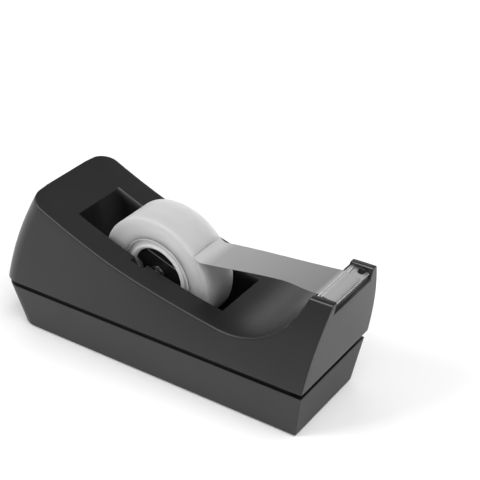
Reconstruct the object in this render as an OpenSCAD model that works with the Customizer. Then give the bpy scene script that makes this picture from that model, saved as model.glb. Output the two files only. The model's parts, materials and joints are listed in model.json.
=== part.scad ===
// Weighted desktop tape dispenser with a spool that lifts out of two slanted slots.
// Millimetres. +X points to the cutter, Y is the width, +Z is up.
// The origin is on the table, at the centre of the outline.

/* [Overall] */
// Half of the overall length, rear face to the tips of the cheeks
half_length = 91.5; // [91:0.5:92.5]
// Half of the cover's width
half_width = 26.5; // [26.2:0.1:27.5]
// How far the foam pad stands out under the base
pad_proud = 0.8; // [0.5:0.1:1]

/* [Base] */
// Height of the base's outer wall
base_h = 23.6; // [23.4:0.1:23.8]
// How far the base's bottom edge is set in from its top edge at the sides
base_taper = 2.9; // [2:0.1:3.2]
// How far the base's bottom edge is set in at the front
base_rake = 5.5; // [4:0.1:5.8]
// How far the base's bottom edge is set in at the rear
base_rear_rake = 2.7; // [2:0.1:5]
// Height of the dark groove between the base and the cover
groove_h = 3.3; // [2.5:0.1:3.5]
// Wall thickness of both housings
wall = 2.2; // [1.8:0.1:2.4]

/* [Cover] */
// Height of the cheeks' tops above the table
cheek_top = 70.1; // [69.8:0.1:70.5]
// Radius of the deck's long hollow curve
deck_radius = 308; // [300:1:320]
// Radius of the swoop in front of the well
swoop_radius = 38; // [37.5:0.5:38.5]
// How far the front face leans forwards from the groove to the cheeks
front_lean = 10; // [9:0.5:11]
// How far the rear face leans forwards from the groove to the deck
rear_lean = 28.7; // [27.5:0.1:29.5]
// How far the rear face bulges out between its ends
rear_bulge = 2.3; // [1:0.1:3]
// How far the sides draw in at the top of the nose
nose_pinch = 9.8; // [9:0.2:10]
// Radius of the rear corners, seen from above
rear_corner = 10.5; // [9.5:0.5:12]

/* [Tape well] */
// Length of the well
well_length = 78.3; // [76:0.1:79]
// Half of the well's width
well_half_width = 13.8; // [13.5:0.1:14]
// Distance from the spool's axis back to the well's rear wall
well_behind_axle = 38.5; // [38:0.1:39]
// Height of the well's floor above the table
well_floor = 15.6; // [15.2:0.2:16]

/* [Spool] */
// Distance of the spool's axis behind the middle of the object
axle_back = 5.85; // [5.5:0.05:6]
// Height of the spool's axis above the table
axle_height = 47.2; // [47:0.1:47.5]
// Radius of the axle pin
axle_r = 2.7; // [2.2:0.1:2.8]
// How far the slots lean back from upright, in degrees
slot_lean = 23; // [20:1:26]
// Radius of the hub's lobes
hub_r = 12.9; // [12.8:0.05:12.95]
// Distance from the axis to the hub's wide flat
hub_flat = 8.7; // [8.2:0.1:9.4]
// Length of the hub's barrel
hub_length = 15.2; // [14:0.2:17]
// Width of the tape
tape_width = 19; // [18:0.5:19]
// Outer radius of the wound tape
roll_r = 28.6; // [27:0.1:28.8]
// Inner radius of the core
core_bore_r = 13; // [13:0.1:13.2]
// Outer radius of the core
core_r = 18.2; // [17.5:0.1:18.5]

/* [Cutter] */
// Thickness of the cutter's sheet metal
blade_t = 0.6; // [0.4:0.1:0.8]
// Depth of the cutter from its rear fold to the tips of its teeth
blade_depth = 8.4; // [8:0.1:8.8]
// Distance between teeth
tooth_pitch = 1.1; // [0.9:0.1:1.4]

/* [Hidden] */
$fn = 96;
eps = 0.01;
far = 200;

// Heights of the main levels
base_bottom = pad_proud;
base_top = base_bottom + base_h;
cover_bottom = base_top + groove_h;
loft_top = 82;

// Deck: the hollow curve meets the swoop at join_angle, where both have the same tangent
swoop_x = half_length - 47;
swoop_z = 82;
join_angle = -9;
deck_x = swoop_x - (deck_radius - swoop_radius) * sin(join_angle);
deck_z = swoop_z + (deck_radius - swoop_radius) * cos(join_angle);
join_x = swoop_x + swoop_radius * sin(join_angle);

// Cover: rear and front faces at the groove
cover_front = half_length - front_lean;
deck_rear_z = 79.4;
front_corner = 1.2;
pinch_start = -19.5;
pinch_end = 60.5;

// Base, seen from above
base_side_step = 1;
base_rear_step = 0.1;
base_front_step = 1.1;
base_front_corner = 0.9;
neck_inset = wall + 1.9;
neck_end_inset = wall + 2.4;
neck_lap = 2;
neck_t = 1.3;
ledge_t = 2.4;

// Well
axle_x = -axle_back;
well_rear = axle_x - well_behind_axle;
well_front = well_rear + well_length;
well_wall = 2;

// Slots in the well's side walls
slot_r = axle_r + 0.07;
slot_end = 16.8;
slot_wall = 2;
slot_length = 40;
axle_half = 16.5;

// Spool's hub
hub_flat_angle = 68.5;
collar_r = 4.1;
collar_length = 18.8;

// Cheeks and cutter seat
seat_half_width = 13.85;
blade_half_width = 13.7;
blade_x = half_length - 10;
blade_z = cheek_top - 1.3;
blade_slope = 11;
recess_depth = 2.6;
recess_h = 3.6;
window_w = 3.1;
window_x = 3.6;
window_l = 3;
tooth_h = 0.7;
lug_h = 0.7;
lug_w = 2.4;
hook_h = 1.6;

// Screws, from below: a post on the base and a boss on the cover share each axis
screw_x = [-70, 62];
screw_y = 14;
post_r = 4.2;
boss_r = 6.2;
screw_r = 1.45;
head_r = 2.9;
head_h = 2.2;
head_seat = 8;
screw_tip = 34;
pilot_depth = 13;
boss_top = 56;
post_top = base_top - 0.9;
boss_gap = 0.1;

// Pad and ballast
pad_t = 1.8;
pad_inset = 2.5;
floor_t = 2.4;
floor_top = base_bottom + 1 + floor_t;
ballast_gap = 0.4;
ballast_bottom = floor_top + 0.1;
ballast_top = post_top;
ballast_half_width = 20;

// Free run of tape: it peels off the roll, bends, and runs straight to the cutter
strip_t = 0.3;
strip_gap = 0.15;
peel_angle = 36;
wrap_angle = 75;
peel_bend = 3.5;
run_slope = 5.2;

function lerp(a, b, t) = a + (b - a) * t;
function smooth(t) = let (c = min(max(t, 0), 1)) c * c * (3 - 2 * c);

// x of the cover's rear and front faces at height z
function rear_x(z) =
    let (u = (z - cover_bottom) / (deck_rear_z - cover_bottom))
    -half_length + rear_lean * u - 4 * rear_bulge * u * (1 - u);
function front_x(z) =
    cover_front + front_lean * (z - cover_bottom) / (cheek_top - cover_bottom);

// Half width of the cover at (x, z): full at the rear, drawn in towards the top of the nose
function side_y(x, z) =
    let (u = max(z - cover_bottom, 0) / (cheek_top - cover_bottom))
    half_width - nose_pinch * smooth((x - pinch_start) / (pinch_end - pinch_start)) * u * u;

// One half of the cover's outline at height z, set in by d, from the rear to the front
function half_outline(z, d) =
    let (cx = rear_x(z) + rear_corner, r = rear_corner - d, fr = max(front_corner - d, 0.3),
         fx = front_x(z) - d - fr, n = 14)
    concat(
        [for (a = [180:-15:90]) [cx + r * cos(a), half_width - rear_corner + r * sin(a)]],
        [for (i = [1:n]) let (x = lerp(cx, fx, i / n)) [x, side_y(x, z) - d]],
        [for (a = [45, 0]) [fx + fr * cos(a), side_y(fx, z) - d - fr + fr * sin(a)]]);

function mirrored(p) = concat(p, [for (i = [len(p) - 1:-1:0]) [p[i][0], -p[i][1]]]);

// Solid through outlines with the same number of points, one at each height
module loft(rings, heights) {
    n = len(rings[0]);
    m = len(heights);
    points = [for (k = [0:m - 1]) for (p = rings[k]) [p[0], p[1], heights[k]]];
    sides = [for (k = [0:m - 2]) for (i = [0:n - 1])
        let (j = (i + 1) % n, a = k * n, b = (k + 1) * n)
        each [[a + i, b + j, b + i], [a + i, a + j, b + j]]];
    bottom = [[for (i = [n - 1:-1:0]) i]];
    top = [[for (i = [0:n - 1]) (m - 1) * n + i]];
    polyhedron(points, concat(sides, bottom, top), convexity = 4);
}

// Solid through the cover's outlines at the given heights, set in by d
module cover_loft(heights, d) loft([for (z = heights) mirrored(half_outline(z, d))], heights);

// Cylinder along Y, centred on the middle plane
module rod(r, length) rotate([90, 0, 0]) cylinder(r = r, h = length, center = true);

// Everything above the deck, with the deck lowered by d
module above_deck(d) {
    intersection() {
        translate([deck_x, 0, deck_z]) rod(deck_radius + d, far);
        translate([-far, -far / 2, 0]) cube([far + join_x, far, far]);
    }
    translate([swoop_x, 0, swoop_z]) rod(swoop_radius + d, far);
    translate([swoop_x, -far / 2, cheek_top - d]) cube([far, far, far]);
}

// The slanted path of an axle of radius r, from y0 to y1 on both sides
module slot_path(r, y0, y1, length) {
    for (side = [-1, 1])
        translate([axle_x, side * (y0 + y1) / 2, axle_height]) {
            rod(r, y1 - y0);
            rotate([0, -slot_lean, 0])
                translate([-r, -(y1 - y0) / 2, 0]) cube([2 * r, y1 - y0, length]);
        }
}

module at_screws() {
    for (x = screw_x)
        for (y = [-screw_y, screw_y])
            translate([x, y, 0]) children();
}

// Seat between the cheeks, its floor parallel to the cutter
module cutter_seat() {
    translate([blade_x, 0, blade_z - blade_t])
        rotate([0, blade_slope, 0])
            translate([-4, -seat_half_width, 0]) cube([30, 2 * seat_half_width, 12]);
    translate([half_length - recess_depth, -seat_half_width, cheek_top - recess_h - 2.8])
        cube([10, 2 * seat_half_width, recess_h + 2]);
}

// Plan of the cutter: x runs from the fold to the teeth
module cutter_plan(shrink) {
    teeth = floor(2 * blade_half_width / tooth_pitch);
    pitch = 2 * blade_half_width / teeth;
    root = blade_depth - tooth_h;
    edge = [for (i = [0:teeth - 1])
        each [[root, -blade_half_width + i * pitch],
              [blade_depth, -blade_half_width + (i + 0.5) * pitch]]];
    difference() {
        polygon(concat([[0, blade_half_width], [0, -blade_half_width]], edge,
                       [[root, blade_half_width]]));
        for (side = [-1, 1])
            translate([window_x + shrink,
                       side * (blade_half_width - window_w / 2 + 0.5 + shrink) - window_w / 2 - 0.5])
                square([window_l - 2 * shrink, window_w + 1]);
    }
}

module upper_housing() color([0.10, 0.10, 0.105]) {
    heights = [for (i = [0:9]) lerp(cover_bottom, loft_top, i / 9)];
    inner_heights = [for (i = [0:9]) lerp(cover_bottom - 1, loft_top, i / 9)];
    difference() {
        union() {
            // Shell
            difference() {
                cover_loft(heights, 0);
                difference() {
                    cover_loft(inner_heights, wall);
                    above_deck(wall);
                    translate([swoop_x, -far / 2, cheek_top - 8]) cube([far, far, far]);
                }
            }
            // Well walls and the slots' backing
            translate([well_rear - well_wall, -well_half_width - well_wall, well_floor - well_wall])
                cube([well_length + 2 * well_wall, 2 * (well_half_width + well_wall),
                      deck_rear_z - 5 - well_floor]);
            slot_path(slot_r + slot_wall, well_half_width, slot_end + slot_wall, slot_length / 2);
            // Screw bosses, ended at the ballast's top
            intersection() {
                translate([0, 0, ballast_top + boss_gap])
                    at_screws() cylinder(r = boss_r, h = boss_top - ballast_top);
                translate([-far / 2, -far / 2, 0]) cube([far, far, boss_top]);
            }
        }
        above_deck(0);
        translate([well_rear, -well_half_width, well_floor])
            cube([well_length, 2 * well_half_width, far]);
        slot_path(slot_r, well_half_width - 1, slot_end, slot_length);
        cutter_seat();
        translate([0, 0, ballast_top])
            at_screws() cylinder(r = screw_r + 0.05, h = pilot_depth);
    }
    // Lugs that locate the cutter through its side windows
    translate([blade_x, 0, blade_z - blade_t - 0.5])
        rotate([0, blade_slope, 0])
            for (side = [-1, 1])
                translate([window_x + 0.4, side * (blade_half_width - 1.5) - lug_w / 2, 0])
                    cube([window_l - 0.8, lug_w, lug_h + 0.5]);
}

// One half of an outline set in from the cover's rim by these amounts, with rear corners rc
function base_ring(side, rear, front, rc) =
    let (fc = base_front_corner, w = half_width - side,
         x0 = -half_length + rear, x1 = cover_front - front)
    concat(
        [for (a = [180:-15:90]) [x0 + rc + rc * cos(a), w - rc + rc * sin(a)]],
        [for (a = [90:-30:0]) [x1 - fc + fc * cos(a), w - fc + fc * sin(a)]]);

// The base's whole outline, t of the way down from its top, set in by d all round
function base_level(t, d) =
    mirrored(base_ring(base_side_step + base_taper * t + d, base_rear_step + base_rear_rake * t + d,
                       base_front_step + base_rake * t + d, rear_corner - 1 + t));

// The neck's whole outline, set in by d all round
function neck_outline(d) =
    mirrored(base_ring(neck_inset + d, neck_end_inset + d, neck_end_inset + d, rear_corner - 1));

// Tapered block between the base's bottom and top outlines, set in by d
module base_block(bottom, top, d) loft([base_level(1, d), base_level(0, d)], [bottom, top]);

module base_housing() color([0.12, 0.12, 0.125]) {
    difference() {
        union() {
            difference() {
                base_block(base_bottom, base_top, 0);
                base_block(floor_top, base_top + 1, wall);
            }
            // Recessed neck that fits inside the cover, standing on a ledge along the wall
            difference() {
                union() {
                    translate([0, 0, base_top - ledge_t])
                        linear_extrude(ledge_t) polygon(base_level(0, 1));
                    translate([0, 0, base_top - 1])
                        linear_extrude(groove_h + neck_lap + 1) polygon(neck_outline(0));
                }
                translate([0, 0, base_top - 4])
                    linear_extrude(groove_h + neck_lap + 6) polygon(neck_outline(neck_t));
            }
            translate([0, 0, floor_top - 1])
                at_screws() cylinder(r = post_r, h = post_top - floor_top + 1);
        }
        // Recess for the foam pad, screw holes and the recesses of their heads
        translate([0, 0, base_bottom - 1])
            linear_extrude(pad_t + 1 - pad_proud) polygon(base_level(1, pad_inset - 0.2));
        at_screws() {
            cylinder(r = screw_r + 0.25, h = far);
            cylinder(r = head_r + 0.3, h = head_seat);
        }
    }
}

module non_skid_pad() color([0.16, 0.16, 0.16])
    linear_extrude(pad_t) polygon(base_level(1, pad_inset));

// Block between two x positions, its rear corners cut off, with holes for the screw posts
module ballast(x0, x1, cut) {
    w = ballast_half_width;
    difference() {
        translate([0, 0, ballast_bottom])
            linear_extrude(ballast_top - ballast_bottom)
                polygon([[x0 + cut, w], [x1, w], [x1, -w], [x0 + cut, -w],
                         [x0, cut - w], [x0, w - cut]]);
        at_screws() cylinder(r = post_r + ballast_gap, h = far);
    }
}

module front_ballast() color([0.35, 0.34, 0.33])
    ballast(well_front + well_wall + 1, cover_front - base_front_step - base_rake - wall - 1, 1);

module rear_ballast() color([0.35, 0.34, 0.33])
    ballast(-half_length + base_rear_step + base_rear_rake + wall + 1.6,
            well_rear - well_wall - 1, 8);

module housing_screws() color([0.62, 0.62, 0.64])
    at_screws() {
        difference() {
            translate([0, 0, head_seat - head_h]) cylinder(r = head_r, h = head_h);
            for (a = [0, 90])
                rotate([0, 0, a])
                    translate([-1.8, -0.4, head_seat - head_h - 1]) cube([3.6, 0.8, 2.1]);
        }
        translate([0, 0, head_seat]) cylinder(r = screw_r, h = screw_tip - head_seat - 2);
        translate([0, 0, screw_tip - 2]) cylinder(r1 = screw_r, r2 = 0.4, h = 2);
    }

module cutter_blade() color([0.80, 0.80, 0.79])
    translate([blade_x, 0, blade_z - blade_t])
        rotate([0, blade_slope, 0]) {
            linear_extrude(blade_t) cutter_plan(0);
            // Stiffening fold along the rear edge
            translate([0, -blade_half_width, blade_t - eps])
                cube([1.6, 2 * blade_half_width, 0.25]);
        }

module spool_hub() color([0.07, 0.07, 0.07])
    difference() {
        union() {
            difference() {
                rod(hub_r, hub_length);
                // One wide flat, and two narrower ones with sloping sides
                hub_cut(hub_flat_angle, hub_flat, hub_r);
                for (a = [120, 240]) hub_cut(hub_flat_angle + a, hub_flat - 0.2, 4.3);
            }
            // Collar round the axle
            rod(collar_r, collar_length);
        }
        rod(axle_r + 0.02, far);
    }

// Cut along the barrel, at angle a and depth x, with a floor of half width w
module hub_cut(a, x, w)
    rotate([0, -a, 0])
        rotate([90, 0, 0])
            linear_extrude(far, center = true)
                polygon([[x, -w], [x + 10, -w - 10], [x + 10, w + 10], [x, w]]);

module axle_pin() color([0.75, 0.76, 0.78])
    rotate([90, 0, 0])
        rotate_extrude()
            polygon([[0, -axle_half], [axle_r - 0.5, -axle_half], [axle_r, 0.5 - axle_half],
                     [axle_r, axle_half - 0.5], [axle_r - 0.5, axle_half], [0, axle_half]]);

module tape_core() color([0.86, 0.86, 0.85])
    rotate([90, 0, 0])
        difference() {
            rotate_extrude()
                polygon([[core_bore_r, 1.2 - tape_width / 2], [core_bore_r + 1.2, -tape_width / 2],
                         [core_r, -tape_width / 2], [core_r, tape_width / 2],
                         [core_bore_r + 1.2, tape_width / 2], [core_bore_r, tape_width / 2 - 1.2]]);
            for (side = [-1, 1])
                translate([0, 0, side * tape_width / 2])
                    difference() {
                        cylinder(r = core_r - 0.9, h = 2.4, center = true);
                        cylinder(r = core_bore_r + 2.3, h = 4, center = true);
                    }
        }

module tape_roll() color([0.88, 0.88, 0.87])
    difference() {
        rod(roll_r, tape_width);
        rod(core_r + 0.02, far);
    }

module at_axle() translate([axle_x, 0, axle_height]) children();

// Centre line of the free run, as points and the directions of travel in degrees
function strip_path() =
    let (r = roll_r + strip_gap + strip_t / 2,
         bend_c = [axle_x, axle_height] + (r + peel_bend) * [cos(peel_angle), sin(peel_angle)],
         lift = peel_angle - 90,
         z_cut = blade_z + strip_gap + strip_t / 2 + 0.3,
         end = [blade_x - 0.4, z_cut],
         tip_l = blade_depth + 0.8)
    concat(
        [for (i = [0:6]) let (a = lerp(wrap_angle, peel_angle, i / 6))
            [axle_x + r * cos(a), axle_height + r * sin(a), a - 90]],
        [for (i = [1:8]) let (t = lerp(lift, run_slope, i / 8))
            [bend_c[0] + peel_bend * sin(t), bend_c[1] - peel_bend * cos(t), t]],
        [[end[0], end[1], 0],
         [end[0] + tip_l * cos(blade_slope), end[1] - tip_l * sin(blade_slope), -blade_slope]]);

module tape_strip() color([0.75, 0.75, 0.74]) {
    path = strip_path();
    side = [for (s = [-1, 1])
        [for (p = path) [p[0] - s * strip_t / 2 * sin(p[2]), p[1] + s * strip_t / 2 * cos(p[2])]]];
    rotate([90, 0, 0])
        linear_extrude(tape_width, center = true)
            polygon(concat(side[0], [for (i = [len(path) - 1:-1:0]) side[1][i]]));
}

upper_housing();
base_housing();
front_ballast();
rear_ballast();
housing_screws();
non_skid_pad();
cutter_blade();
at_axle() spool_hub();
at_axle() axle_pin();
at_axle() tape_core();
at_axle() tape_roll();
tape_strip();
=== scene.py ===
"""Looks of the desktop tape dispenser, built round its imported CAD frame.

Shapes are worked out in millimetres in the CAD's own frame: +X to the cutter, +Y across, +Z up.
"""

import json
import math

import bmesh
import bpy
from mathutils import Matrix, Vector


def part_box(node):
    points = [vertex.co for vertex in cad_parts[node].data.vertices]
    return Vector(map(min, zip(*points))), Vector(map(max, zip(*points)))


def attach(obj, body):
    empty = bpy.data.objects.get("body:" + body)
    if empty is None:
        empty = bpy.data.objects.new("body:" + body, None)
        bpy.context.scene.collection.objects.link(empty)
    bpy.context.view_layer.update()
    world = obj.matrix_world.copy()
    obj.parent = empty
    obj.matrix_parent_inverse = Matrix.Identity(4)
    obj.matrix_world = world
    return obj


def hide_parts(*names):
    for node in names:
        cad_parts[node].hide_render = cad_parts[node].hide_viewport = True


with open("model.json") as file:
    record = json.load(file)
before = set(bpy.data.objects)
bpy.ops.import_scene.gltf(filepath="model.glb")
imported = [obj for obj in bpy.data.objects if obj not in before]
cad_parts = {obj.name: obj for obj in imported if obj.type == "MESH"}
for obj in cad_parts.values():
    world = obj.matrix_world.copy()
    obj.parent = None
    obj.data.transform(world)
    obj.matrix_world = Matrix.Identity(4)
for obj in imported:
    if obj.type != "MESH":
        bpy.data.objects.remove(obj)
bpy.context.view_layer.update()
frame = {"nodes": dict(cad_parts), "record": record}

MM = 0.001


# ---------------------------------------------------------------- sizes

def box_mm(node):
    """Lowest and highest corner of a CAD node, in millimetres."""
    lo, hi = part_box(node)
    return lo / MM, hi / MM


cover_hi = box_mm("upper_housing")[1]
base_lo, base_hi = box_mm("base_housing")
pad_lo, pad_hi = box_mm("non_skid_pad")
roll_lo, roll_hi = box_mm("tape_roll")
core_lo, core_hi = box_mm("tape_core")
hub_hi = box_mm("spool_hub")[1]
axle_lo, axle_hi = box_mm("axle_pin")
blade_hi = box_mm("cutter_blade")[1]

# Cover
HALF_LENGTH = cover_hi.x
HALF_WIDTH = cover_hi.y
RIM_Z = 27.7  # the cover's bottom edge
DECK_REAR_Z = 79.4
CHEEK_TOP = 70.1
FRONT_LEAN = 10.0
FRONT_X = HALF_LENGTH - FRONT_LEAN  # the front face at the rim
REAR_LEAN = 28.7
REAR_BULGE = 2.3
REAR_CORNER = 10.5
NOSE_PINCH = 9.8
PINCH_START, PINCH_END = -19.5, 60.5
WALL = 2.2
RIM_DEPTH = 3  # how far up the inside of the rim shows
DECK_RADIUS = 308.0
SWOOP_RADIUS = 38.0
SWOOP_X, SWOOP_Z = HALF_LENGTH - 47.0, 82.0
JOIN_ANGLE = math.radians(-9)  # where the deck's long curve meets the swoop
DECK_X = SWOOP_X - (DECK_RADIUS - SWOOP_RADIUS) * math.sin(JOIN_ANGLE)
DECK_Z = SWOOP_Z + (DECK_RADIUS - SWOOP_RADIUS) * math.cos(JOIN_ANGLE)
JOIN_X = SWOOP_X + SWOOP_RADIUS * math.sin(JOIN_ANGLE)

# Well, slots and the seat between the cheeks
AXLE = Vector(((axle_lo.x + axle_hi.x) / 2, 0, (axle_lo.z + axle_hi.z) / 2))
AXLE_R = (axle_hi.z - axle_lo.z) / 2
WELL_HALF = 13.8
WELL_BEHIND_AXLE = 38.5
WELL_LENGTH = 78.3
WELL_REAR = AXLE.x - WELL_BEHIND_AXLE
WELL_FRONT = WELL_REAR + WELL_LENGTH
WELL_FLOOR = 15.6
SLOT_R = AXLE_R + 0.07
SLOT_END = 16.8  # how far out from the middle the blind slots reach
SLOT_LEAN = math.radians(23)
BLADE_X = HALF_LENGTH - 10.0  # the cutter's rear fold
BLADE_Z = CHEEK_TOP - 1.3
BLADE_T = 0.6
BLADE_SLOPE = math.radians(11)
BLADE_DEPTH = 8.4
RECESS_X = HALF_LENGTH - 2.6  # the recess under the teeth
RECESS_Z = CHEEK_TOP - 6.4

# Base and pad
BASE_Z = base_lo.z
BASE_H = 23.6
BASE_TOP = BASE_Z + BASE_H
BASE_HALF = base_hi.y
BASE_REAR, BASE_FRONT = base_lo.x, base_hi.x
BASE_TAPER = 2.9
BASE_RAKE = 5.5  # how far the bottom edge is set in at the front
BASE_REAR_RAKE = 2.7
BASE_CORNER = REAR_CORNER - 1
NECK_INSET = (3.1, 4.5, 3.5)  # at the sides, the rear and the front
NECK_T = 1.3
NECK_DEPTH = 6  # how far down the inside of the neck shows
NECK_TOP = base_hi.z
PAD_INSET = 2.5
PAD_GAP = 0.25  # between the pad and the shallow recess it sits in
PAD_RECESS = 1.0


def smooth(t):
    t = min(max(t, 0.0), 1.0)
    return t * t * (3 - 2 * t)


def lerp(a, b, t):
    return a + (b - a) * t


def rear_x(z):
    u = (z - RIM_Z) / (DECK_REAR_Z - RIM_Z)
    return -HALF_LENGTH + REAR_LEAN * u - 4 * REAR_BULGE * u * (1 - u)


def front_x(z):
    return FRONT_X + FRONT_LEAN * (z - RIM_Z) / (CHEEK_TOP - RIM_Z)


def side_y(x, z):
    u = max(z - RIM_Z, 0) / (CHEEK_TOP - RIM_Z)
    pinch = smooth((x - PINCH_START) / (PINCH_END - PINCH_START))
    return HALF_WIDTH - NOSE_PINCH * pinch * u * u


def deck_z(x):
    if x < JOIN_X:
        return DECK_Z - math.sqrt(DECK_RADIUS ** 2 - (x - DECK_X) ** 2)
    return SWOOP_Z - math.sqrt(SWOOP_RADIUS ** 2 - (x - SWOOP_X) ** 2)


def seat_z(x):
    return BLADE_Z - BLADE_T - (x - BLADE_X) * math.tan(BLADE_SLOPE)


def solve(f, a, b):
    """Root of f between a and b, by halving."""
    for _ in range(50):
        m = (a + b) / 2
        if (f(a) > 0) == (f(m) > 0):
            a = m
        else:
            b = m
    return (a + b) / 2


# ---------------------------------------------------------------- meshes

class Shell:
    """Collects faces in millimetres, welds shared corners, and rounds the edges it is told to."""

    def __init__(self):
        self.points = []
        self.index = {}
        self.faces = []
        self.rounds = {}
        self.marks = {}

    def point(self, p):
        key = tuple(round(c, 3) for c in p)
        if key not in self.index:
            self.index[key] = len(self.points)
            self.points.append(tuple(p))
        return self.index[key]

    def face(self, *corners):
        loop = []
        for corner in corners:
            i = self.point(corner)
            if i not in loop:
                loop.append(i)
        if len(loop) > 2:
            self.faces.append(loop)

    def grid(self, rows, closed=False):
        """Quads between rows of points; closed joins each row's last point to its first."""
        for low, high in zip(rows, rows[1:]):
            count = len(low)
            for i in range(count if closed else count - 1):
                j = (i + 1) % count
                self.face(low[i], low[j], high[j], high[i])

    def round_off(self, chain, radius, closed=False):
        """Rounds the edges along a chain of points."""
        for a, b in zip(chain, chain[1:] + (chain[:1] if closed else [])):
            self.rounds[frozenset((self.point(a), self.point(b)))] = radius

    def mark(self, chain, amount=1.0):
        """Marks points that the material shades differently, such as edges with a painted
        highlight.
        """
        self.marks.update({self.point(p): amount for p in chain})

    def build(self, name, body, segments=3, weighted=True):
        mesh = bpy.data.meshes.new(name)
        mesh.from_pydata([[c * MM for c in p] for p in self.points], [], self.faces)
        mesh.validate()
        obj = bpy.data.objects.new(name, mesh)
        bpy.context.scene.collection.objects.link(obj)
        fix_normals(mesh)
        for polygon in mesh.polygons:
            polygon.use_smooth = True
        marked = mesh.attributes.new("marked", "FLOAT", "POINT")
        for i, amount in self.marks.items():
            marked.data[i].value = amount
        if self.rounds:
            widest = max(self.rounds.values())
            weights = mesh.attributes.new("bevel_weight_edge", "FLOAT", "EDGE")
            for edge in mesh.edges:
                radius = self.rounds.get(frozenset(edge.vertices), 0)
                weights.data[edge.index].value = radius / widest
            bevel = obj.modifiers.new("rounded edges", "BEVEL")
            bevel.limit_method = "WEIGHT"
            bevel.width = widest * MM
            bevel.segments = segments
            bevel.use_clamp_overlap = False
            bevel.miter_outer = "MITER_SHARP"
        if weighted:
            normals = obj.modifiers.new("flat faces stay flat", "WEIGHTED_NORMAL")
            normals.mode = "FACE_AREA_WITH_ANGLE"
            normals.keep_sharp = True
        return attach(obj, body)


def fix_normals(mesh):
    bm = bmesh.new()
    bm.from_mesh(mesh)
    bmesh.ops.recalc_face_normals(bm, faces=bm.faces)
    bm.to_mesh(mesh)
    bm.free()


def flip_y(points):
    return [(x, -y, z) for x, y, z in points]


def inset(loop, d):
    """A closed plan outline moved inwards by d, corner by corner; the loop runs clockwise."""
    out = []
    for i, (x, y) in enumerate(loop):
        (ax, ay), (bx, by) = loop[i - 1], loop[(i + 1) % len(loop)]
        before = Vector((y - ay, ax - x)).normalized()
        after = Vector((by - y, x - bx)).normalized()
        middle = (before + after).normalized()
        out.append((x, y) if not middle.length else tuple(
            Vector((x, y)) + middle * d / max(middle.dot(before), 0.3)))
    return out


# ---------------------------------------------------------------- cover

# Rows of the outer wall, from the rim to the top edge; one lies at the recess's lower edge
HEIGHTS = [0, 0.04, 0.12, 0.21, 0.30, 0.39, 0.48, 0.57, 0.66, 0.75,
           (RECESS_Z - RIM_Z) / (CHEEK_TOP - RIM_Z), 0.93, 1]
CORNER_STEPS = 8
SLOT_STEPS = 16
DECK_STEPS = 20
SWOOP_STEPS = 14
STATION_GAP = 1.6  # even stations nearer than this to one that has to be there are left out
SEAT_APPROACH = 0.07  # how far before the cutter's seat the swoop's even steps end, in radians
NEAR = 0.01  # slack when places are compared

# Where the middle column lies between the well's side and the outer wall; it moves outwards
# over this length in front of the well
DECK_SHARE, CHEEK_SHARE = 0.24, 0.34
SHARE_LENGTH = 40

# Stations on the cheeks' tops: behind the front, and past the end of the swoop
CHEEK_STATIONS = (5.0, 2.4, 0)
CHEEK_START = 2.2

# How far the edges are rounded
DECK_EDGE = 0.7
RUN_OUT_EDGE, SEAT_END_EDGE = 0.4, 0.12  # smaller where the deck's edge runs into the cheeks
CHEEK_OUTER_EDGE, CHEEK_EDGE = 1.1, 0.6
CORNER_EDGE = 0.5
FINE_EDGE = 0.3
SEAT_EDGES = (0.4, 0.3, 0, 0.5)

# How strongly the edges' painted highlights show; above 1 the light line is wider
DECK_HIGHLIGHT, CHEEK_OUTER_HIGHLIGHT, CHEEK_HIGHLIGHT, WELL_HIGHLIGHT = 1.02, 1.16, 1.2, 1.0


def slot_outline():
    """The slot's edge in the well wall, from its rear mouth round the axle to its front mouth."""
    along = Vector((-math.sin(SLOT_LEAN), 0, math.cos(SLOT_LEAN)))
    across = Vector((math.cos(SLOT_LEAN), 0, math.sin(SLOT_LEAN)))

    def mouth(side):
        start = AXLE + across * SLOT_R * side
        t = solve(lambda t: deck_z((start + along * t).x) - (start + along * t).z, 0, 40)
        p = start + along * t
        return (p.x, p.z)

    bottom = [AXLE + SLOT_R * (across * math.cos(a) - along * math.sin(a))
              for a in [math.pi * (1 - i / SLOT_STEPS) for i in range(SLOT_STEPS + 1)]]
    return [mouth(-1)] + [(p.x, p.z) for p in bottom] + [mouth(1)]


def deck_stations(must_have):
    """x positions along the deck from the end of the rear corner to the join."""
    start = solve(lambda z: deck_z(rear_x(z) + REAR_CORNER) - z, 60, 79)
    first = rear_x(start) + REAR_CORNER
    even = [lerp(first, JOIN_X, i / DECK_STEPS) for i in range(DECK_STEPS + 1)]
    kept = [x for x in even if all(abs(x - m) > STATION_GAP for m in must_have)]
    return sorted(kept + must_have)


def swoop_point(angle):
    return (SWOOP_X + SWOOP_RADIUS * math.sin(angle), SWOOP_Z - SWOOP_RADIUS * math.cos(angle))


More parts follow.
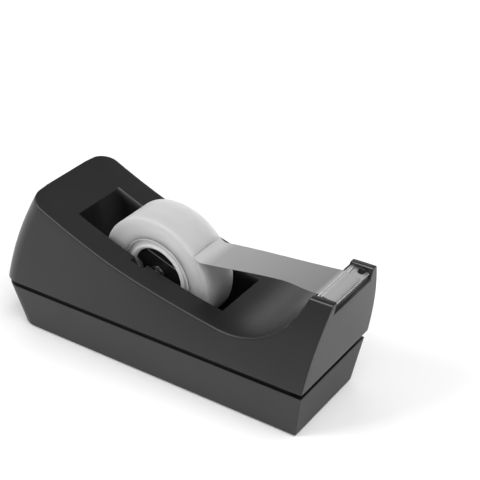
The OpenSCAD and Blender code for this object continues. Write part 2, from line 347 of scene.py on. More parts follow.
def cover():
    """One skin: outer walls, deck, well with its slots, cutter's seat, cheeks and rim."""
    shell = Shell()
    slot = slot_outline()
    mouth_rear, mouth_front = slot[0][0], slot[-1][0]

    # Stations along the top profile: (x, z, half width, kind of column below it)
    seat_angle = solve(lambda a: swoop_point(a)[1] - seat_z(swoop_point(a)[0]), 1.0, 1.5)
    cheek_angle = math.acos((SWOOP_Z - CHEEK_TOP) / SWOOP_RADIUS)
    corner = []
    for i in range(CORNER_STEPS + 1):
        a = math.pi * (1 - i / CORNER_STEPS / 2)
        dx, y = REAR_CORNER * (1 + math.cos(a)), HALF_WIDTH - REAR_CORNER * (1 - math.sin(a))
        z = min(solve(lambda z: deck_z(rear_x(z) + dx) - z, 60, 80), cover_hi.z)
        corner.append((rear_x(z) + dx, z, y, ("corner", dx)))
    must = [WELL_REAR, mouth_rear, mouth_front, WELL_FRONT]
    deck = [(x, deck_z(x), side_y(x, deck_z(x)), ("side", 0)) for x in deck_stations(must)][1:]
    angles = [lerp(JOIN_ANGLE, seat_angle - SEAT_APPROACH, i / SWOOP_STEPS)
              for i in range(1, SWOOP_STEPS + 1)]
    swoop = []
    for a in angles + [seat_angle, cheek_angle]:
        x, z = swoop_point(a)
        swoop.append((x, z, side_y(x, z), ("side", 0)))
    seat_row = len(corner) + len(deck) + len(angles)
    cheek_x = swoop[-1][0]
    cheek = [(x, CHEEK_TOP, side_y(x, CHEEK_TOP), ("side", 0))
             for x in [cheek_x + CHEEK_START] + [HALF_LENGTH - d for d in CHEEK_STATIONS]]
    stations = corner + deck + swoop + cheek

    def below(station, t):
        """Point on the outer wall under a station, at the fraction t of its height."""
        x_top, z_top, y_top, (kind, dx) = station
        z = lerp(RIM_Z, z_top, t)
        if kind == "corner":
            return (rear_x(z) + dx, y_top, z)
        start, end = rear_x(z_top) + REAR_CORNER, front_x(z_top)
        s = (x_top - start) / (end - start)
        x = lerp(rear_x(z) + REAR_CORNER, front_x(z), s)
        return (x, side_y(x, z), z)

    def shelf_y(station):
        """Where the deck's middle column lies; beside a slot it is the slot's blind end."""
        x, _, half, _ = station
        if mouth_rear - NEAR <= x <= mouth_front + NEAR:
            return SLOT_END
        share = lerp(DECK_SHARE, CHEEK_SHARE, smooth((x - WELL_FRONT) / SHARE_LENGTH))
        return lerp(WELL_HALF, half, share)

    # Outer walls: sides, rounded rear corners, rear face, front face
    wall = [[below(s, t) for t in HEIGHTS] for s in stations]
    shell.grid(wall)
    shell.grid([flip_y(column) for column in wall])
    half_rear = [WELL_HALF, shelf_y(stations[0]), stations[0][2]]
    rear_ys = [-y for y in reversed(half_rear)] + [0] + half_rear
    shell.grid([[(x, y, z) for x, _, z in wall[0]] for y in rear_ys])
    front = []
    for t in HEIGHTS:
        x, y, z = below(stations[-1], t)
        front.append((x, z, [WELL_HALF, lerp(WELL_HALF, y, CHEEK_SHARE), y]))
    shell.grid([[(x, y, z) for y in ys] for x, z, ys in front])
    shell.grid([[(x, -y, z) for y in ys] for x, z, ys in front])
    low_front = [row for row in front if row[1] < RECESS_Z + NEAR]
    shell.grid([[(x, y, z) for y in (-WELL_HALF, WELL_HALF)] for x, z, _ in low_front])

    # Deck, swoop and cheek tops
    for row, (a, b) in enumerate(zip(stations, stations[1:])):
        (ax, az, a_half, _), (bx, bz, b_half, _) = a, b
        in_well = WELL_REAR - NEAR < ax and bx < WELL_FRONT + NEAR
        in_slot = mouth_rear - NEAR < ax and bx < mouth_front + NEAR
        for side in (-1, 1):
            a_mid, b_mid = side * shelf_y(a), side * shelf_y(b)
            shell.face((ax, a_mid, az), (ax, side * a_half, az), (bx, side * b_half, bz),
                       (bx, b_mid, bz))
            if not in_slot:
                shell.face((ax, side * WELL_HALF, az), (ax, a_mid, az),
                           (bx, b_mid, bz), (bx, side * WELL_HALF, bz))
        if row < seat_row and not in_well:
            shell.face((ax, -WELL_HALF, az), (ax, WELL_HALF, az),
                       (bx, WELL_HALF, bz), (bx, -WELL_HALF, bz))

    # Well: walls with the slots cut in, end walls, floor
    rim = [(s[0], s[1]) for s in stations if WELL_REAR - NEAR < s[0] < WELL_FRONT + NEAR]
    behind = [p for p in rim if p[0] < mouth_rear + NEAR]
    ahead = [p for p in rim if p[0] > mouth_front - NEAR]
    mouth = [p for p in rim if mouth_rear - NEAR < p[0] < mouth_front + NEAR]
    for side in (-1, 1):
        y, deep = side * WELL_HALF, side * SLOT_END
        edge = behind + slot[1:-1] + ahead
        shell.face(*[(x, y, z) for x, z in edge],
                   (WELL_FRONT, y, WELL_FLOOR), (WELL_REAR, y, WELL_FLOOR))
        shell.grid([[(x, y, z) for x, z in slot], [(x, deep, z) for x, z in slot]])
        shell.face(*[(x, deep, z) for x, z in slot + mouth[-2:0:-1]])
        shell.round_off([(x, y, z) for x, z in edge], FINE_EDGE)
        shell.round_off([(x, deep, z) for x, z in mouth], FINE_EDGE)
        for x, z in (slot[0], slot[-1]):
            shell.round_off([(x, y, z), (x, deep, z)], FINE_EDGE)
    for x, z in (rim[0], rim[-1]):
        shell.face((x, -WELL_HALF, z), (x, WELL_HALF, z),
                   (x, WELL_HALF, WELL_FLOOR), (x, -WELL_HALF, WELL_FLOOR))
        shell.round_off([(x, -WELL_HALF, z), (x, WELL_HALF, z)], FINE_EDGE)
    shell.face(*[(x, y, WELL_FLOOR) for x, y in
                 ((WELL_REAR, -WELL_HALF), (WELL_FRONT, -WELL_HALF),
                  (WELL_FRONT, WELL_HALF), (WELL_REAR, WELL_HALF))])

    # Seat for the cutter between the cheeks
    seat = [stations[seat_row][:2], (RECESS_X, seat_z(RECESS_X)), (RECESS_X, RECESS_Z),
            (front_x(RECESS_Z), RECESS_Z)]
    for (ax, az), (bx, bz) in zip(seat, seat[1:]):
        shell.face((ax, -WELL_HALF, az), (ax, WELL_HALF, az), (bx, WELL_HALF, bz),
                   (bx, -WELL_HALF, bz))
    cheek_edge = [s[:2] for s in stations[seat_row:]]
    cheek_front = [(x, z) for x, z, _ in front[::-1] if RECESS_Z - NEAR < z < CHEEK_TOP - NEAR]
    for side in (-1, 1):
        y = side * WELL_HALF
        shell.face(*[(x, y, z) for x, z in cheek_edge + cheek_front + seat[2:0:-1]])
        shell.round_off([(x, y, z) for x, z in cheek_edge + cheek_front], CHEEK_EDGE)
        for x, z, half, _ in (stations[seat_row + 1], stations[-1]):
            middle = lerp(WELL_HALF, half, CHEEK_SHARE)
            shell.round_off([(x, y, z), (x, side * middle, z), (x, side * half, z)], CHEEK_EDGE)
    for (x, z), radius in zip(seat, SEAT_EDGES):
        if radius:
            shell.round_off([(x, -WELL_HALF, z), (x, WELL_HALF, z)], radius)

    # Outer edges
    top = [(s[0], s[2], s[1]) for s in stations]
    for flip in (list, flip_y):
        shell.round_off(flip(top[:seat_row - 4]), DECK_EDGE)
        shell.round_off(flip(top[seat_row - 5:seat_row - 1]), RUN_OUT_EDGE)
        shell.round_off(flip(top[seat_row - 2:seat_row + 2]), SEAT_END_EDGE)
        shell.round_off(flip(top[seat_row + 1:]), CHEEK_OUTER_EDGE)
        shell.round_off(flip(wall[-1]), CORNER_EDGE)
        # Painted highlights: the deck's and cheeks' outer edges are painted lighter where light
        # would catch them
        shell.mark(flip(top[CORNER_STEPS // 2:seat_row - 3]), DECK_HIGHLIGHT)
        shell.mark(flip(top[seat_row + 1:]), CHEEK_OUTER_HIGHLIGHT)
    shell.round_off([(wall[0][-1][0], y, wall[0][-1][2]) for y in rear_ys], DECK_EDGE)
    # Painted highlights on the far side only: the well's rim and the far cheek's inner top edge
    shell.mark([(x, WELL_HALF, z) for x, z in behind + ahead], WELL_HIGHLIGHT)
    shell.mark([(x, WELL_HALF, z) for x, z in cheek_edge[1:]], CHEEK_HIGHLIGHT)

    # Rim along the bottom, and a short way up inside
    low_corner = front[0][2]
    plan = [c[0][:2] for c in wall] + [(FRONT_X, y) for y in low_corner[1::-1]]
    plan += [(x, -y) for x, y in plan[::-1]]
    plan += [(-HALF_LENGTH, y) for y in rear_ys[1:-1]]
    inner = inset(plan, WALL)
    shell.grid([[(x, y, RIM_Z) for x, y in plan], [(x, y, RIM_Z) for x, y in inner],
                [(x, y, RIM_Z + RIM_DEPTH) for x, y in inner]], closed=True)
    shell.round_off([(x, y, RIM_Z) for x, y in plan], FINE_EDGE, closed=True)
    return shell.build("cover", "body")


# ---------------------------------------------------------------- base and pad

SIDE_STATIONS = (0.25, 0.5, 0.75, 0.97, 1)
NOSE_STEP = 3  # from the nose's corners to the next points across
BASE_ROWS = (0.0, 0.06, 0.35, 0.65, 0.94, 1.0)
BASE_TOP_EDGE, BASE_LOW_EDGE, PAD_EDGE = 0.45, 0.4, 0.25


def base_plan(at_sides, at_rear, at_front, corner):
    """The base's outline set in by these amounts, clockwise from the rear."""
    rear, nose, half = BASE_REAR + at_rear, BASE_FRONT - at_front, BASE_HALF - at_sides
    angles = [math.pi * (1 - i / CORNER_STEPS / 2) for i in range(CORNER_STEPS + 1)]
    side = [(rear + corner + corner * math.cos(a), half - corner + corner * math.sin(a))
            for a in angles]
    side += [(lerp(rear + corner, nose, t), half) for t in SIDE_STATIONS]
    side += [(nose, half - NOSE_STEP)]
    return side + [(x, -y) for x, y in side[::-1]]


def base_level(t, d=0.0):
    """The base's outline t of the way down from its top, set in by d all round."""
    return base_plan(BASE_TAPER * t + d, BASE_REAR_RAKE * t + d, BASE_RAKE * t + d,
                     BASE_CORNER + t)


def neck_plan(d):
    return base_plan(*[inset_by + d for inset_by in NECK_INSET], BASE_CORNER)


def ring(plan, z):
    return [(x, y, z) for x, y in plan]


def base():
    """Tapered tray with the neck of the parting groove on top and the pad's recess below."""
    shell = Shell()
    sides = [ring(base_level(t), lerp(BASE_TOP, BASE_Z, t)) for t in BASE_ROWS]
    recess = base_level(1, PAD_INSET - PAD_GAP)
    rings = [ring(neck_plan(NECK_T), NECK_TOP - NECK_DEPTH), ring(neck_plan(NECK_T), NECK_TOP),
             ring(neck_plan(0), NECK_TOP), ring(neck_plan(0), BASE_TOP)] + sides
    rings += [ring(recess, BASE_Z), ring(recess, BASE_Z + PAD_RECESS)]
    shell.grid(rings, closed=True)
    shell.face(*rings[-1])
    shell.round_off(sides[0], BASE_TOP_EDGE, closed=True)
    shell.round_off(sides[-1], BASE_LOW_EDGE, closed=True)
    nose = CORNER_STEPS + len(SIDE_STATIONS)
    for i in (nose, len(recess) - 1 - nose):
        shell.round_off([row[i] for row in sides], CORNER_EDGE)
    return shell.build("base", "body")


def pad():
    shell = Shell()
    plan = base_level(1, PAD_INSET)
    rings = [ring(plan, pad_hi.z), ring(plan, pad_lo.z)]
    shell.grid(rings, closed=True)
    for loop in rings:
        shell.face(*loop)
    shell.round_off(rings[1], PAD_EDGE, closed=True)
    return shell.build("pad", "body")


cover_obj = cover()
base_obj = base()
pad_obj = pad()
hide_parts("upper_housing")
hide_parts("base_housing")
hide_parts("non_skid_pad")


# ---------------------------------------------------------------- cutter

TOOTH_PITCH = 1.1
TOOTH_H = 0.7
# A side notch: along the sheet, and in from its edge
NOTCH = ((3.6, 0), (3.75, 2.1), (4.2, 2.85), (4.9, 3.1),
         (5.8, 3.1), (6.45, 2.6), (6.6, 1.9), (6.6, 0))
# The rear fold and the rib in front of it: along the sheet, and above its top
FOLD = ((0, -0.1), (0.0, 0.45), (0.3, 0.5), (0.55, 0.1),
        (1.25, 0.1), (1.45, 0.46), (1.7, 0.46), (1.9, -0.1))
FOLD_TOPS = (1, 2, 5, 6)
SHEET_EDGE, FOLD_EDGE = 0.1, 0.08


def blade():
    """Folded sheet with side notches and a toothed front edge, in its own tilted frame."""
    half = blade_hi.y
    root = BLADE_DEPTH - TOOTH_H
    teeth = int(2 * half / TOOTH_PITCH)
    pitch = 2 * half / teeth
    notch = [(x, half - depth) for x, depth in NOTCH]
    edge = [(root, half)]
    for i in range(teeth):
        edge += [(BLADE_DEPTH, half - (i + 0.5) * pitch), (root, half - (i + 1) * pitch)]
    outline = [(0.0, half)] + notch + edge + [(x, -y) for x, y in notch[::-1]] + [(0.0, -half)]

    def place(x, y, h):
        """From the sheet's own plane, h above its underside, to the CAD frame."""
        c, s = math.cos(BLADE_SLOPE), math.sin(BLADE_SLOPE)
        return (BLADE_X + x * c + h * s, y, BLADE_Z - BLADE_T - x * s + h * c)

    shell = Shell()
    low, high = [[place(x, y, h) for x, y in outline] for h in (0, BLADE_T)]
    shell.grid([low, high], closed=True)
    shell.face(*low)
    shell.face(*high)
    shell.round_off(high, SHEET_EDGE, closed=True)
    rows = [[place(x, y, BLADE_T + h) for x, h in FOLD] for y in (-half, half)]
    shell.grid(rows)
    for row in rows:
        shell.face(*row)
    for i in FOLD_TOPS:
        shell.round_off([row[i] for row in rows], FOLD_EDGE)
    return shell.build("cutter", "body", segments=2)


# ---------------------------------------------------------------- spool and roll

def turned(name, profile, body, segments=128, weighted=True, marks=()):
    """Ring turned about the spool's axis from a closed profile of (radius, y).

    marks are (place in the profile, amount) for points that the material shades differently.
    """
    shell = Shell()
    rows = []
    for i in range(segments):
        a = math.tau * i / segments
        rows.append([(AXLE.x + r * math.cos(a), y, AXLE.z + r * math.sin(a)) for r, y in profile])
    loops = rows + rows[:1]
    for a, b in zip(loops, loops[1:]):
        for i in range(len(profile)):
            j = (i + 1) % len(profile)
            shell.face(a[i], a[j], b[j], b[i])
    for column, amount in marks:
        shell.mark([row[column] for row in rows], amount)
    return shell.build(name, body, weighted=weighted)


def arc(cx, cy, r, a0, a1, n):
    """Points on an arc from a0 to a1, in degrees."""
    return [(cx + r * math.cos(math.radians(lerp(a0, a1, i / n))),
             cy + r * math.sin(math.radians(lerp(a0, a1, i / n)))) for i in range(n + 1)]


TAPE_HALF = roll_hi.y
ROLL_R = (roll_hi.z - roll_lo.z) / 2
CORE_R = (core_hi.z - core_lo.z) / 2
CORE_BORE = 13.0
CORE_LIP = 1.2
# Painted shade on the roll: its outside is painted darker, and the near rim most, to cancel the
# rim's bright band
OUTSIDE_SHADE = 0.55  # share of the near rim's darker shade that the outside of the roll gets


def both_faces(half):
    """A closed profile from one face's half profile, mirrored to the other face."""
    return half + [(r, -y) for r, y in half[::-1]]


def roll():
    """Wound tape; its near rim is shaded as one soft curve, as milky film looks from outside.
    Painted shade darkens its outside, most at the near rim, against the bright band that soft
    curve catches.
    """
    soft = 0.35  # rounding of the far rim
    near = [(CORE_R + 0.02, -TAPE_HALF + 0.1), (CORE_R + 0.3, -TAPE_HALF),
            (CORE_R + 2.5, -TAPE_HALF), (ROLL_R, -TAPE_HALF), (ROLL_R, -1.0)]
    near_rim = 3
    far = [(ROLL_R, 0.0), (ROLL_R, TAPE_HALF - soft - 0.3)]
    far += arc(ROLL_R - soft, TAPE_HALF - soft, soft, 0, 90, 4)
    far += [(ROLL_R - soft - 0.3, TAPE_HALF), (CORE_R + 0.3, TAPE_HALF),
            (CORE_R + 0.02, TAPE_HALF - 0.1)]
    profile = near + far
    # Painted shade: the outside of the roll in part, the near rim in full
    marks = [(i, OUTSIDE_SHADE) for i, (r, _) in enumerate(profile) if r > ROLL_R - soft]
    return turned("roll", profile, "spool", weighted=False, marks=marks + [(near_rim, 1.0)])


def core():
    """Ring with a lip at its bore and a shallow groove between that and the tape."""
    half = [(CORE_BORE, TAPE_HALF - 1.6), (CORE_BORE, TAPE_HALF - CORE_LIP)]
    half += arc(CORE_BORE + CORE_LIP, TAPE_HALF - 0.3, 0.3, 135, 90, 3)
    half += arc(CORE_BORE + 1.85, TAPE_HALF - 0.45, 0.45, 90, 0, 3)
    half += [(CORE_BORE + 2.3, TAPE_HALF - 1.2), (CORE_R - 0.9, TAPE_HALF - 1.2),
             (CORE_R - 0.8, TAPE_HALF - 0.25), (CORE_R - 0.55, TAPE_HALF), (CORE_R, TAPE_HALF)]
    return turned("core", both_faces(half), "spool")


HUB_R = 12.9
HUB_HALF = 7.6
COLLAR_R = 4.1
HUB_EDGE, COLLAR_EDGE = 0.3, 0.2
HUB_STEPS = 120
# Angle, distance from the axis and half width of the cuts along the barrel
HUB_CUTS = ((68.5, 8.7, HUB_R), (188.5, 8.5, 4.3), (308.5, 8.5, 4.3))


def hub_reach(a):
    """How far the barrel reaches from the axis at the angle a."""
    reach = HUB_R
    for angle, depth, half_width in HUB_CUTS:
        along, across = math.cos(a - math.radians(angle)), abs(math.sin(a - math.radians(angle)))
        if along > 0 and depth * across <= half_width * along + 1e-6:
            reach = min(reach, depth / along)
        elif along > across:
            reach = min(reach, (depth - half_width) / (along - across))
    return reach


def hub_angles():
    """Even steps round the barrel, and the exact corners of its cuts."""
    angles = [math.tau * i / HUB_STEPS for i in range(HUB_STEPS)]
    for angle, depth, half_width in HUB_CUTS:
        side = solve(lambda t: (depth + t) ** 2 + (half_width + t) ** 2 - HUB_R ** 2, 0, 9)
        corners = [math.acos(depth / HUB_R)]
        if half_width < HUB_R:
            corners = [math.atan(half_width / depth),
                       math.atan((half_width + side) / (depth + side))]
        for corner in corners:
            for sign in (-1, 1):
                exact = (math.radians(angle) + sign * corner) % math.tau
                angles = [a for a in angles if abs(a - exact) > 0.02] + [exact]
    return sorted(angles)


def hub():
    """Barrel with three cuts along it and a collar round the axle."""
    half, end = HUB_HALF, hub_hi.y
    outline = [(math.cos(a), math.sin(a), hub_reach(a)) for a in hub_angles()]

    def loop(y, radius=None):
        return [(AXLE.x + cx * (radius or reach), y, AXLE.z + sz * (radius or reach))
                for cx, sz, reach in outline]

    shell = Shell()
    side = [loop(0), loop(half), loop(half, COLLAR_R), loop(end, COLLAR_R),
            loop(end, AXLE_R + 0.02)]
    # The rim of the widest cut's flat gets a painted highlight
    flat = math.radians(HUB_CUTS[0][0])
    on_flat = [reach < HUB_R - 0.3 and cx * math.cos(flat) + sz * math.sin(flat) > 0.7
               for cx, sz, reach in outline]
    for flip in (list, flip_y):
        rows = [flip(row) for row in side]
        shell.grid(rows, closed=True)
        shell.round_off(rows[1], HUB_EDGE, closed=True)
        shell.round_off(rows[3], COLLAR_EDGE, closed=True)
        shell.mark([p for p, highlighted in zip(rows[1], on_flat) if highlighted])
    return shell.build("hub", "spool")


def axle():
    half = axle_hi.y
    profile = [(0.0, half), (AXLE_R - 0.5, half), (AXLE_R - 0.15, half - 0.15),
               (AXLE_R, half - 0.5)]
    return turned("axle", both_faces(profile), "spool", segments=48)


# ---------------------------------------------------------------- free run of tape

WRAP = math.radians(36.5)  # where the film starts on the roll
PEEL = math.radians(36)  # where it leaves the roll
PEEL_BEND = 4.0
RUN_SLOPE = math.radians(5.2)
FILM_T = 0.12
NARROWER, FLARE, DRIFT = 1.1, 3.6, 1.9  # how the run's edges wander on the way to the cutter
FLARE_START = 0.65  # of the way from the roll to the cutter
FILM_LIFT = 0.4  # of the film's middle above the cutter's sheet
BEND_STEPS, RUN_STEPS = 8, 16
COLUMNS = (-1, -0.985, -0.5, 0, 0.5, 0.985, 1)


def strip():
    """Thin film that leaves the roll, bends, and runs to the cutter's teeth."""
    r = ROLL_R + 0.02
    reach = r + PEEL_BEND
    centre = (AXLE.x + reach * math.cos(PEEL), AXLE.z + reach * math.sin(PEEL))
    path = [(AXLE.x + r * math.cos(a), AXLE.z + r * math.sin(a))
            for a in [lerp(WRAP, PEEL, i / BEND_STEPS) for i in range(BEND_STEPS + 1)]]
    lift = PEEL - math.pi / 2
    path += [(centre[0] + PEEL_BEND * math.sin(t), centre[1] - PEEL_BEND * math.cos(t))
             for t in [lerp(lift, RUN_SLOPE, i / BEND_STEPS) for i in range(1, BEND_STEPS + 1)]]
    start, end = path[-1], (BLADE_X - 0.4, BLADE_Z + FILM_LIFT + 0.02)
    path += [(lerp(start[0], end[0], t), lerp(start[1], end[1], t) + 0.5 * t * (1 - t))
             for t in [i / RUN_STEPS for i in range(1, RUN_STEPS + 1)]]
    length = BLADE_DEPTH - 0.6
    path += [(BLADE_X + s * math.cos(BLADE_SLOPE), BLADE_Z + FILM_LIFT - s * math.sin(BLADE_SLOPE))
             for s in (0.3 * length, 0.65 * length, length)]
    rows = []
    for x, z in path:
        t = (x - start[0]) / (BLADE_X - start[0])
        near = -TAPE_HALF + NARROWER * smooth(1.8 * t)
        near -= FLARE * smooth((t - FLARE_START) / (1 - FLARE_START))
        far = TAPE_HALF - DRIFT * smooth(t)
        rows.append([(x, lerp(near, far, (c + 1) / 2), z) for c in COLUMNS])
    shell = Shell()
    shell.grid(rows)
    obj = shell.build("free_run", "free_run")
    film = obj.modifiers.new("film", "SOLIDIFY")
    film.thickness = FILM_T * MM
    film.offset = 0
    return obj


pieces = {
    "cutter_blade": blade(),
    "tape_roll": roll(),
    "tape_core": core(),
    "spool_hub": hub(),
    "axle_pin": axle(),
    "tape_strip": strip(),
}
for node, obj in pieces.items():
    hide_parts(node)
pieces.update(upper_housing=cover_obj, base_housing=base_obj, non_skid_pad=pad_obj)


# ---------------------------------------------------------------- materials

def principled(name, grey, roughness, **values):
    """A material with its constants on the Principled shader's own sockets."""
    mat = bpy.data.materials.new(name)
    mat.use_nodes = True
    shader = mat.node_tree.nodes["Principled BSDF"]
    shader.inputs["Base Color"].default_value = (grey, grey, grey, 1)
    shader.inputs["Roughness"].default_value = roughness
    for key, value in values.items():
        shader.inputs[key.replace("_", " ")].default_value = value
    return mat, shader


def add_noise(mat, scale, detail=3, stretch=(1, 1, 1)):
    tree = mat.node_tree
    coords = tree.nodes.new("ShaderNodeTexCoord")
    mapping = tree.nodes.new("ShaderNodeMapping")
    mapping.inputs["Scale"].default_value = stretch
    noise = tree.nodes.new("ShaderNodeTexNoise")
    noise.inputs["Scale"].default_value = scale
    noise.inputs["Detail"].default_value = detail
    tree.links.new(coords.outputs["Object"], mapping.inputs["Vector"])
    tree.links.new(mapping.outputs["Vector"], noise.inputs["Vector"])
    return noise


def vary_roughness(mat, shader, source, low, high):
    ramp = mat.node_tree.nodes.new("ShaderNodeMapRange")
    ramp.inputs["To Min"].default_value = low
    ramp.inputs["To Max"].default_value = high
    mat.node_tree.links.new(source.outputs["Fac"], ramp.inputs["Value"])
    mat.node_tree.links.new(ramp.outputs["Result"], shader.inputs["Roughness"])


def grey_ramp(tree, steps):
    """Colour ramp through steps of (position, grey)."""
    ramp = tree.nodes.new("ShaderNodeValToRGB")
    marks = ramp.color_ramp.elements
    for mark, (position, grey) in zip(marks, (steps[0], steps[-1])):
        mark.position, mark.color = position, (grey, grey, grey, 1)
    for position, grey in steps[1:-1]:
        marks.new(position).color = (grey, grey, grey, 1)
    return ramp


def vary_colour(mat, shader, source, dark, light):
    ramp = grey_ramp(mat.node_tree, [(0.3, dark), (0.7, light)])
    mat.node_tree.links.new(source.outputs["Fac"], ramp.inputs["Fac"])
    mat.node_tree.links.new(ramp.outputs["Color"], shader.inputs["Base Color"])


def add_bump(mat, shader, source, strength, distance):
    bump = mat.node_tree.nodes.new("ShaderNodeBump")
    bump.inputs["Strength"].default_value = strength
    bump.inputs["Distance"].default_value = distance * MM
    mat.node_tree.links.new(source.outputs["Fac"], bump.inputs["Height"])
    mat.node_tree.links.new(bump.outputs["Normal"], shader.inputs["Normal"])


def shade_marked(mat, shader, grey, sharpness=40.0):
    """Blends the surface to this grey where it is marked, as a painted highlight or painted shade;
    sharper means in a thinner line.
    """
    tree = mat.node_tree
    marked = tree.nodes.new("ShaderNodeAttribute")
    marked.attribute_name = "marked"
    narrow = tree.nodes.new("ShaderNodeMath")
    narrow.operation = "POWER"
    narrow.inputs[1].default_value = sharpness
    mix = tree.nodes.new("ShaderNodeMix")
    mix.data_type = "RGBA"
    mix.inputs["B"].default_value = (grey, grey, grey, 1)
    surface = shader.inputs["Base Color"]
    if surface.links:
        tree.links.new(surface.links[0].from_socket, mix.inputs["A"])
    else:
        mix.inputs["A"].default_value = surface.default_value
    tree.links.new(marked.outputs["Fac"], narrow.inputs[0])
    tree.links.new(narrow.outputs["Value"], mix.inputs["Factor"])
    tree.links.new(mix.outputs["Result"], surface)


def textured_plastic(name, grey, roughness, gloss, recess=False):
    """Moulded plastic with a fine grain, faint patches and painted highlights on its marked edges;
    recess adds painted shade in the parting groove.
    """
    mat, shader = principled(name, grey, roughness, Specular_IOR_Level=gloss)
    patches = add_noise(mat, 40)
    vary_roughness(mat, shader, patches, roughness - 0.03, roughness + 0.03)
    vary_colour(mat, shader, patches, grey * 0.9, grey * 1.12)
    add_bump(mat, shader, add_noise(mat, 2600, 2), 0.25, 0.03)
    if recess:
        paint_groove_shade(mat, shader)
    shade_marked(mat, shader, 0.18)
    return mat


def smooth_plastic(name, grey, roughness):
    mat, shader = principled(name, grey, roughness)
    vary_roughness(mat, shader, add_noise(mat, 120), roughness - 0.05, roughness + 0.06)
    add_bump(mat, shader, add_noise(mat, 500, 2), 0.1, 0.02)
    # Painted highlight on marked edges
    shade_marked(mat, shader, 0.25)
    return mat


def brushed(name, grey, roughness, stretch):
    """Metal with fine lines along the axis that stretch makes long."""
    mat, shader = principled(name, grey, roughness, Metallic=1.0)
    lines = add_noise(mat, 900, 3, stretch)
    vary_roughness(mat, shader, lines, roughness - 0.08, roughness + 0.1)
    vary_colour(mat, shader, lines, grey * 0.93, grey * 1.05)
    add_bump(mat, shader, lines, 0.15, 0.01)
    return mat


def frosted(name, grey, roughness, depth, gloss=0.5):
    """Milky plastic; depth is how far light spreads inside it, in mm."""
    mat, shader = principled(name, grey, roughness, Specular_IOR_Level=gloss,
                             Subsurface_Weight=1.0, Subsurface_Scale=1.0)
    shader.inputs["Subsurface Radius"].default_value = (depth * MM,) * 3
    patches = add_noise(mat, 150)
    vary_roughness(mat, shader, patches, roughness - 0.05, roughness + 0.05)
    vary_colour(mat, shader, patches, grey * 0.985, grey * 1.01)
    add_bump(mat, shader, add_noise(mat, 60, 1), 0.05, 0.05)
    return mat


def wound_tape():
    """Milky film, with painted shade darkening its outside and near rim where the points are
    marked.
    """
    mat = frosted("wound tape", 0.5, 0.5, depth=15.0, gloss=0.1)
    shade_marked(mat, mat.node_tree.nodes["Principled BSDF"], 0.35, sharpness=1.0)
    return mat


def greys_along(mat, axis, steps):
    """Greys set along one axis of the part; steps are (place in mm, grey)."""
    tree = mat.node_tree
    coords = tree.nodes.new("ShaderNodeTexCoord")
    split = tree.nodes.new("ShaderNodeSeparateXYZ")
    span = tree.nodes.new("ShaderNodeMapRange")
    first, last = steps[0][0], steps[-1][0]
    span.inputs["From Min"].default_value = first * MM
    span.inputs["From Max"].default_value = last * MM
    ramp = grey_ramp(tree, [((place - first) / (last - first), grey) for place, grey in steps])
    tree.links.new(coords.outputs["Object"], split.inputs["Vector"])
    tree.links.new(split.outputs[axis], span.inputs["Value"])
    tree.links.new(span.outputs["Result"], ramp.inputs["Fac"])
    return ramp.outputs["Color"]


def single_layer(name, roughness):
    """Milky film with painted light along its run: lightest where it leaves the roll, darkest just
    before the cutter, a little lighter on the cutter's sheet.
    """
    mat, shader = principled(name, 0.3, roughness, Specular_IOR_Level=0.3, Alpha=0.93)
    peel = AXLE.x + ROLL_R * math.cos(PEEL)
    painted_light = greys_along(mat, "X", [(peel - 1, 0.46), (peel + 3, 0.39), (peel + 9, 0.25),
                                  (BLADE_X - 2, 0.15), (BLADE_X, 0.27),
                                  (BLADE_X + BLADE_DEPTH, 0.27)])
    mat.node_tree.links.new(painted_light, shader.inputs["Base Color"])
    vary_roughness(mat, shader, add_noise(mat, 150), roughness - 0.05, roughness + 0.05)
    add_bump(mat, shader, add_noise(mat, 60, 1), 0.05, 0.05)
    return mat


def paint_groove_shade(mat, shader):
    """Painted shade: darkens the neck and ledge in the parting groove, from just below the base's
    top edge upwards, to a tenth of the walls' grey.
    """
    tree = mat.node_tree
    mix = tree.nodes.new("ShaderNodeMix")
    mix.data_type, mix.blend_type = "RGBA", "MULTIPLY"
    mix.inputs["Factor"].default_value = 1.0
    walls = shader.inputs["Base Color"].links[0].from_socket
    shade = greys_along(mat, "Z", [(BASE_TOP - 0.12, 1.0), (BASE_TOP - 0.04, 0.1),
                                   (NECK_TOP, 0.1)])
    tree.links.new(walls, mix.inputs["A"])
    tree.links.new(shade, mix.inputs["B"])
    tree.links.new(mix.outputs["Result"], shader.inputs["Base Color"])


def rough_cast(name, grey):
    mat, shader = principled(name, grey, 0.7, Metallic=0.6)
    grain = add_noise(mat, 700, 5)
    vary_colour(mat, shader, grain, grey * 0.7, grey * 1.2)
    add_bump(mat, shader, grain, 0.5, 0.2)
    return mat


def foam(name, grey):
    mat, shader = principled(name, grey, 0.9)
    pores = add_noise(mat, 1800, 4)
    vary_colour(mat, shader, pores, grey * 0.6, grey * 1.3)
    add_bump(mat, shader, pores, 0.7, 0.15)
    return mat


finishes = {
    "cover_plastic": textured_plastic("cover plastic", 0.009, 0.34, 0.285),
    # recess=True paints shade into the base's parting groove
    "base_plastic": textured_plastic("base plastic", 0.022, 0.5, 0.3, recess=True),
    "ballast_iron": rough_cast("cast iron", 0.25),
    "screw_steel": brushed("zinc-plated steel", 0.6, 0.35, (1, 1, 6)),
    "pad_foam": foam("foam rubber", 0.03),
    "blade_steel": brushed("bright sheet steel", 0.7, 0.32, (1, 0.05, 1)),
    "hub_plastic": smooth_plastic("hub plastic", 0.009, 0.25),
    "axle_steel": brushed("drawn steel", 0.2, 0.4, (1, 0.05, 1)),
    "core_plastic": frosted("core plastic", 0.8, 0.3, depth=12.0),
    "tape_film": wound_tape(),
}
free_film = single_layer("single layer of tape", 0.45)

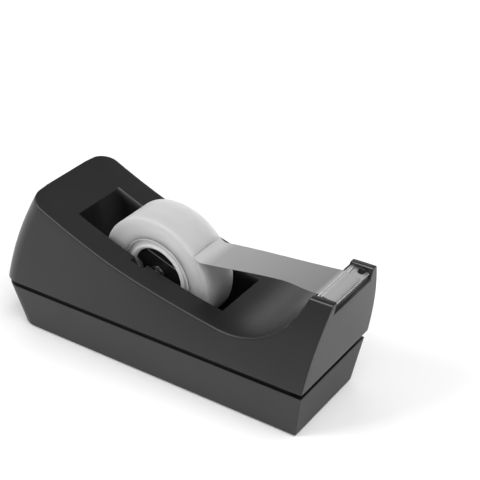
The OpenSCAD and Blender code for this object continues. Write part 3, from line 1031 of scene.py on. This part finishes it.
slots = {part["node"]: part["material_slot"] for part in frame["record"]["subparts"]}
for node, slot_name in slots.items():
    obj = pieces.get(node, frame["nodes"][node])
    obj.data.materials.clear()
    obj.data.materials.append(free_film if node == "tape_strip" else finishes[slot_name])


# ---------------------------------------------------------------- floor, light, camera

# In metres, like everything below
FLOOR_HALF = 4.0
LIGHTS_AIM = Vector((0.0, 0.0, 0.04))


def add_floor():
    mesh = bpy.data.meshes.new("floor")
    corners = [(-1, -1), (1, -1), (1, 1), (-1, 1)]
    mesh.from_pydata([(x * FLOOR_HALF, y * FLOOR_HALF, 0) for x, y in corners],
                     [], [(0, 1, 2, 3)])
    floor = bpy.data.objects.new("floor", mesh)
    bpy.context.scene.collection.objects.link(floor)
    mat, _ = principled("pale floor", 0.85, 0.9, Specular_IOR_Level=0.1)
    floor.data.materials.append(mat)


def soft_light(name, location, width, height, power):
    """Large rectangular light aimed at the middle of the object."""
    data = bpy.data.lights.new(name, "AREA")
    data.shape = "RECTANGLE"
    data.size, data.size_y = width, height
    data.energy = power
    light = bpy.data.objects.new(name, data)
    light.location = location
    aim = LIGHTS_AIM - Vector(location)
    light.rotation_euler = aim.to_track_quat("-Z", "Y").to_euler()
    bpy.context.scene.collection.objects.link(light)


def studio_walls():
    """Background that is bright at the horizon, like a white sweep, and greyer above."""
    world = bpy.data.worlds.new("studio")
    bpy.context.scene.world = world
    world.use_nodes = True
    tree = world.node_tree
    coords = tree.nodes.new("ShaderNodeTexCoord")
    split = tree.nodes.new("ShaderNodeSeparateXYZ")
    ramp = grey_ramp(tree, [(0.0, 0.85), (0.2, 0.7), (0.5, 0.5), (1.0, 0.4)])
    tree.links.new(coords.outputs["Generated"], split.inputs["Vector"])
    tree.links.new(split.outputs["Z"], ramp.inputs["Fac"])
    tree.links.new(ramp.outputs["Color"], tree.nodes["Background"].inputs["Color"])
    tree.nodes["Background"].inputs["Strength"].default_value = 1.0


add_floor()
soft_light("left softbox", (-0.83, -1.17, 1.45), 0.75, 0.68, 18.5)
soft_light("right softbox", (0.65, -0.15, 1.1), 0.9, 0.9, 13)
soft_light("back softbox", (-0.8, 0.85, 0.66), 1.0, 0.4, 1.8)
studio_walls()

VIEW_AZIMUTH = math.radians(37.69)
VIEW_ELEVATION = math.radians(31.48)
VIEW_ROLL = math.radians(-3.88)
VIEW_DISTANCE = 0.5248
VIEW_TARGET = Vector((0.01369, 0.02786, 0.05184))

camera_data = bpy.data.cameras.new("camera")
camera_data.sensor_width = 36.0
camera_data.lens = 86.53
camera = bpy.data.objects.new("camera", camera_data)
bpy.context.scene.collection.objects.link(camera)
back = Vector((math.sin(VIEW_AZIMUTH) * math.cos(VIEW_ELEVATION),
               -math.cos(VIEW_AZIMUTH) * math.cos(VIEW_ELEVATION), math.sin(VIEW_ELEVATION)))
camera.location = VIEW_TARGET + back * VIEW_DISTANCE
camera.rotation_euler = ((-back).to_track_quat("-Z", "Y").to_matrix()
                         @ Matrix.Rotation(VIEW_ROLL, 3, "Z")).to_euler()
bpy.context.scene.camera = camera
bpy.context.scene.view_settings.view_transform = "Standard"
